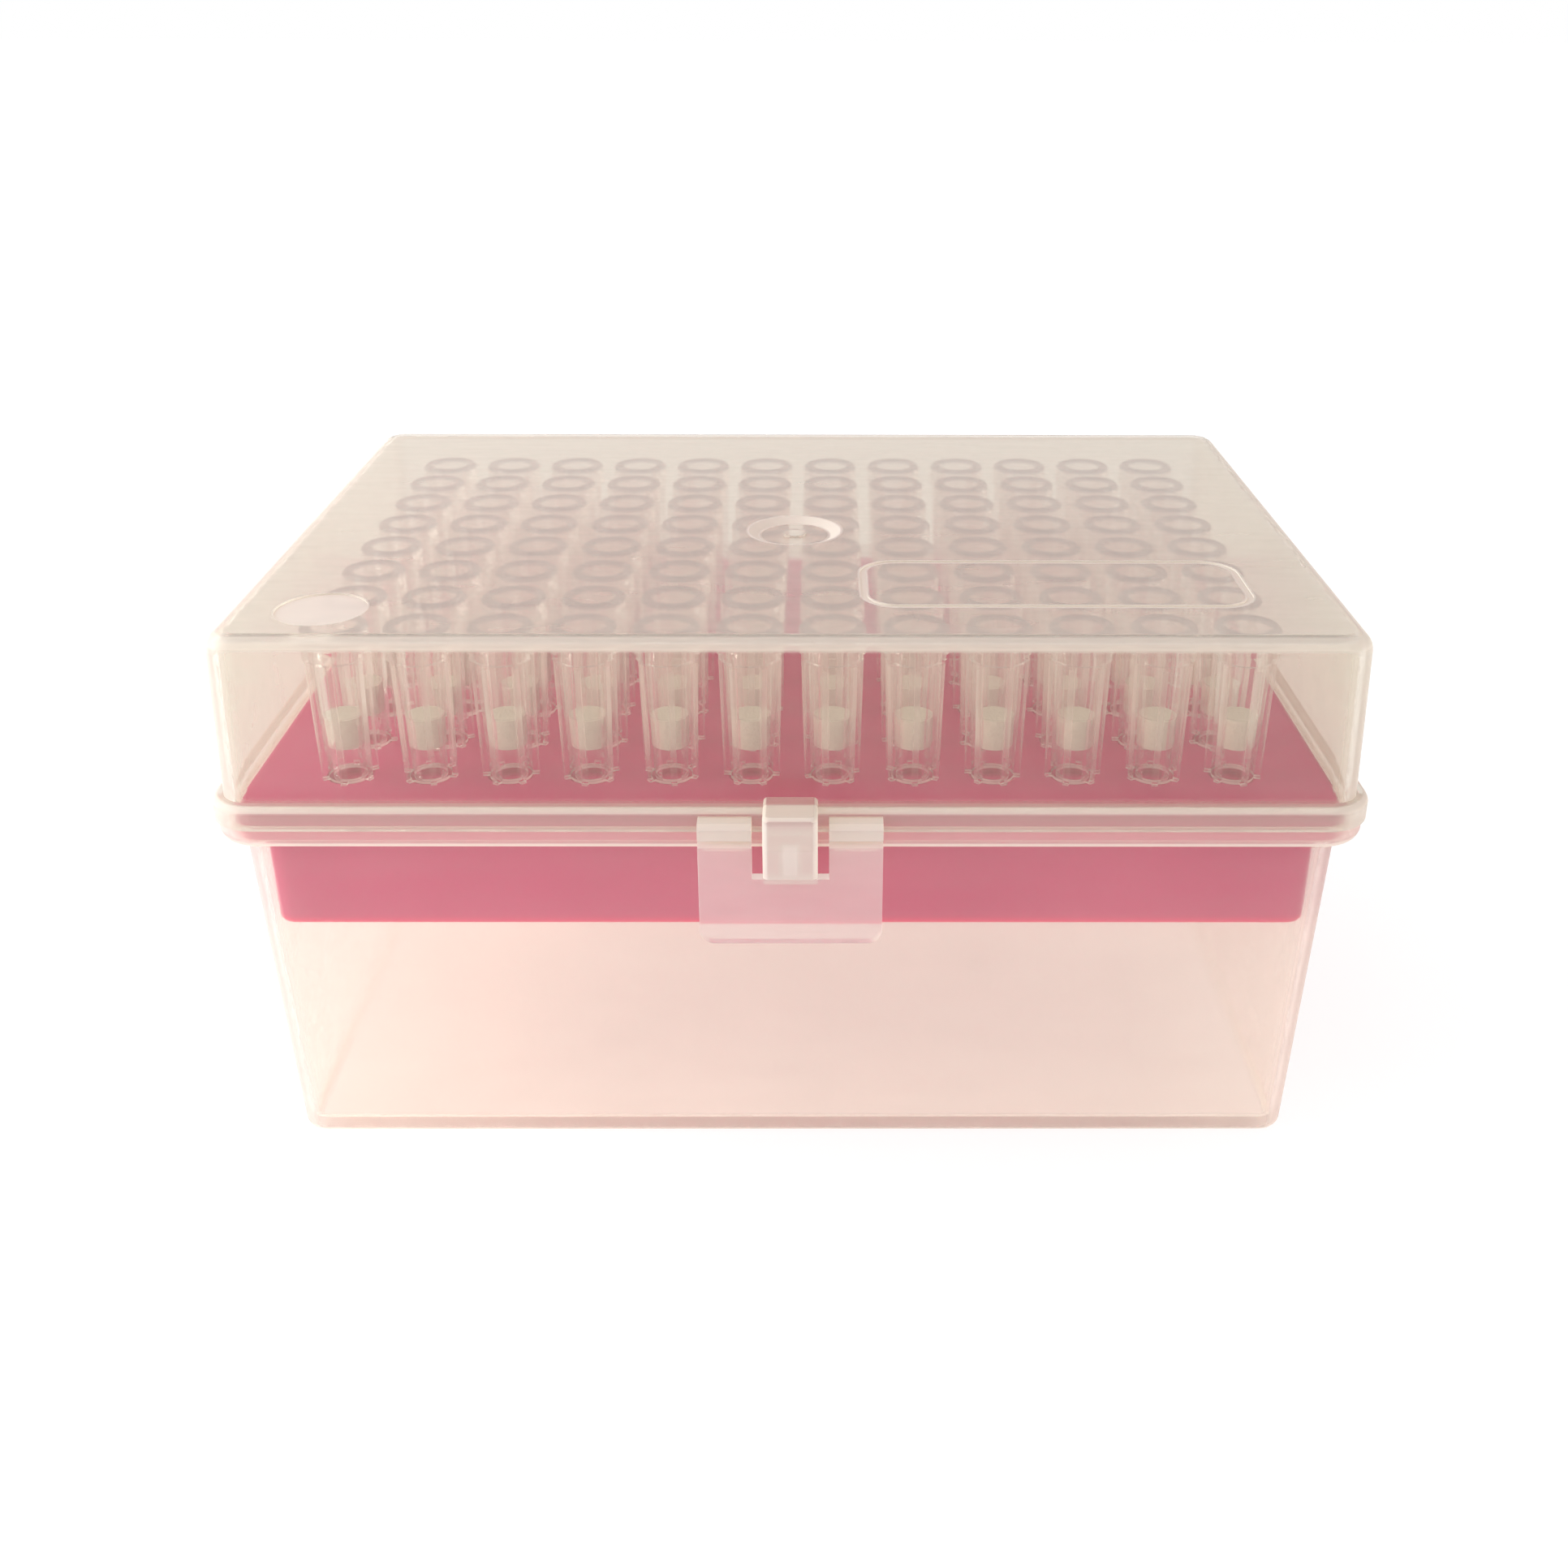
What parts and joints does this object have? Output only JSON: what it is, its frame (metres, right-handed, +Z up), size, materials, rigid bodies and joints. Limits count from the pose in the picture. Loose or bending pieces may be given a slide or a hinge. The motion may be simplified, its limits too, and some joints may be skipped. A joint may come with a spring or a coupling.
{
  "type": "box of pipette tips",
  "caption": "Hinged clear box with a red rack of ribbed filter pipette tips in a rectangular grid; the lid swings on two back hinges, and a sprung plate at the front frees its tongue.",
  "frame": {"origin": "centre of the base's underside", "axes": "+Z up, +X along the rows of twelve to the right, -Y towards the latch"},
  "size_m": [0.1252, 0.0966, 0.0639],
  "materials": {
    "clear_polypropylene": "moulded natural polypropylene, see-through and a little milky",
    "red_polypropylene": "moulded red polypropylene, smooth and slightly see-through at thin edges",
    "tip_polypropylene": "moulded natural polypropylene, clear and thin",
    "filter_polyethylene": "sintered polyethylene, cream white and finely porous"
  },
  "bodies": {
    "base": {"base_box": "clear_polypropylene", "tip_rack": "red_polypropylene", "tips_row_a": "tip_polypropylene", "tips_row_b": "tip_polypropylene", "tips_row_c": "tip_polypropylene", "tips_row_d": "tip_polypropylene", "tips_row_e": "tip_polypropylene", "tips_row_f": "tip_polypropylene", "tips_row_g": "tip_polypropylene", "tips_row_h": "tip_polypropylene", "filters_row_a": "filter_polyethylene", "filters_row_b": "filter_polyethylene", "filters_row_c": "filter_polyethylene", "filters_row_d": "filter_polyethylene", "filters_row_e": "filter_polyethylene", "filters_row_f": "filter_polyethylene", "filters_row_g": "filter_polyethylene", "filters_row_h": "filter_polyethylene"},
    "lid": {"lid": "clear_polypropylene"},
    "release_plate": {"release_plate": "clear_polypropylene"}
  },
  "joints": [
    {"name": "lid_hinge", "type": "hinge", "parent": "base", "child": "lid", "pos_m": [0, 0.04681, 0.0424], "axis": [-1, 0, 0], "range_deg": [0, 105]},
    {"name": "release_hinge", "type": "hinge", "parent": "base", "child": "release_plate", "pos_m": [0, -0.04391, 0.0418], "axis": [-1, 0, 0], "range_deg": [0, 12], "stiffness_Nm_per_rad": 0.24}
  ]
}
